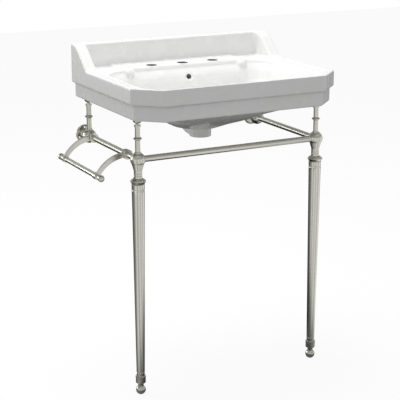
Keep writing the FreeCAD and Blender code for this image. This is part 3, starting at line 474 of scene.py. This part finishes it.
def world():
    """White to the camera; a room graded by height in reflections; soft light on the rest."""
    scene_world = bpy.data.worlds.new("studio")
    bpy.context.scene.world = scene_world
    scene_world.use_nodes = True
    nodes, links = scene_world.node_tree.nodes, scene_world.node_tree.links
    nodes.clear()
    place = nodes.new("ShaderNodeTexCoord")
    split = nodes.new("ShaderNodeSeparateXYZ")
    links.new(place.outputs["Generated"], split.inputs[0])
    room = nodes.new("ShaderNodeMix")
    room.data_type = "RGBA"
    share = calculate(nodes, links, "MULTIPLY_ADD", split.outputs["Y"], *ROOM_BLEND)
    links.new(share, room.inputs["Factor"])
    links.new(grey_ramp(nodes, links, split.outputs["Z"], ROOM_FRONT), room.inputs["A"])
    links.new(grey_ramp(nodes, links, split.outputs["Z"], ROOM_BACK), room.inputs["B"])
    lit = background(nodes, links, SKY_LIGHT)
    mirrored = background(nodes, links, BACKGROUND, room.outputs["Result"])
    seen = background(nodes, links, BACKGROUND)
    glossy = ray_share(nodes, links, "Is Glossy Ray", "Is Transmission Ray")
    light = mix_shaders(nodes, links, glossy, lit, mirrored)
    final = mix_shaders(nodes, links, ray_share(nodes, links, "Is Camera Ray"), light, seen)
    out = nodes.new("ShaderNodeOutputWorld")
    links.new(final, out.inputs["Surface"])


def diffuse(nodes, level):
    item = nodes.new("ShaderNodeBsdfDiffuse")
    item.inputs["Color"].default_value = (*grey(level), 1)
    return item.outputs[0]


def glow(nodes, links, strength, colour=None):
    item = nodes.new("ShaderNodeEmission")
    item.inputs["Strength"].default_value = strength
    if colour:
        links.new(colour, item.inputs["Color"])
    return item.outputs[0]


def floor_reflection(nodes, links):
    """What the metal sees of the floor: painted strips of light and dark around the sink, and a
    painted shadow under it.
    """
    place = nodes.new("ShaderNodeTexCoord")
    middle = nodes.new("ShaderNodeVectorMath")
    middle.operation = "SUBTRACT"
    middle.inputs[1].default_value = FLOOR_MIDDLE
    links.new(place.outputs["Object"], middle.inputs[0])
    split = nodes.new("ShaderNodeSeparateXYZ")
    links.new(middle.outputs[0], split.inputs[0])
    angle = calculate(nodes, links, "ARCTAN2", split.outputs["Y"], split.outputs["X"])
    # -pi..pi to 0..1
    turn = calculate(nodes, links, "MULTIPLY_ADD", angle, 0.5 / math.pi, 0.5)
    ring = grey_ramp(nodes, links, turn, FLOOR_RING)
    length = nodes.new("ShaderNodeVectorMath")
    length.operation = "LENGTH"
    links.new(middle.outputs[0], length.inputs[0])
    reach = nodes.new("ShaderNodeMapRange")
    near, far = FLOOR_PAINTED_SHADOW_REACH
    reach.inputs["From Min"].default_value = near
    reach.inputs["From Max"].default_value = far
    reach.inputs["To Min"].default_value = FLOOR_PAINTED_SHADOW
    links.new(length.outputs["Value"], reach.inputs["Value"])
    # darkened near the sink: a painted shadow
    shade = nodes.new("ShaderNodeVectorMath")
    shade.operation = "SCALE"
    links.new(ring, shade.inputs[0])
    links.new(reach.outputs["Result"], shade.inputs["Scale"])
    return shade.outputs[0]


def floor():
    """White to the camera, with a share of true shadow; painted strips of light and dark and a
    painted shadow under the sink in reflections; darker to diffuse light, so undersides stay in
    shade."""
    material, nodes, links = new_material("studio_floor")
    nodes.clear()
    white = glow(nodes, links, BACKGROUND)
    pale = mix_shaders(nodes, links, FLOOR_GLOW, diffuse(nodes, FLOOR_SEEN), white)
    # in reflections the floor glows with painted strips of light and dark and a painted shadow
    # under the sink
    mirrored = glow(nodes, links, BACKGROUND, floor_reflection(nodes, links))
    dim = diffuse(nodes, FLOOR_BOUNCE)
    glossy = ray_share(nodes, links, "Is Glossy Ray", "Is Transmission Ray")
    other = mix_shaders(nodes, links, glossy, dim, mirrored)
    final = mix_shaders(nodes, links, ray_share(nodes, links, "Is Camera Ray"), other, pale)
    out = nodes.new("ShaderNodeOutputMaterial")
    links.new(final, out.inputs["Surface"])
    mesh = bpy.data.meshes.new("studio_floor")
    half = FLOOR_SIZE / 2
    corners = [(-half, -half, 0), (half, -half, 0), (half, half, 0), (-half, half, 0)]
    mesh.from_pydata(corners, [], [(0, 1, 2, 3)])
    item = bpy.data.objects.new("studio_floor", mesh)
    item.location.z = FLOOR_LEVEL
    bpy.context.scene.collection.objects.link(item)
    paint(item, material)


def area_light(name, place, side, power, mirrored):
    """A square lamp that aims at the basin; mirrored says whether reflections show it."""
    lamp = bpy.data.lights.new(name, "AREA")
    lamp.shape = "RECTANGLE"
    lamp.size = lamp.size_y = side
    lamp.energy = power
    item = bpy.data.objects.new(name, lamp)
    item.location = place
    item.rotation_mode = "QUATERNION"
    item.rotation_quaternion = (Vector(LAMP_TARGET) - Vector(place)).to_track_quat("-Z", "Y")
    item.visible_glossy = mirrored
    bpy.context.scene.collection.objects.link(item)


def camera():
    data = bpy.data.cameras.new("camera")
    data.lens = CAMERA_LENS
    data.sensor_width = CAMERA_SENSOR
    data.clip_start, data.clip_end = CAMERA_CLIP
    item = bpy.data.objects.new("camera", data)
    item.location = CAMERA_PLACE
    item.rotation_euler = (math.radians(90 - CAMERA_PITCH), 0, -math.radians(CAMERA_YAW))
    bpy.context.scene.collection.objects.link(item)
    bpy.context.scene.camera = item


camera()
dress_nodes()
glazed_basin(china(), bore_clay_and_shade())
world()
floor()
area_light("top", *TOP_LAMP, mirrored=False)
area_light("left", *LEFT_LAMP, mirrored=True)
bpy.context.scene.view_settings.view_transform = "Standard"
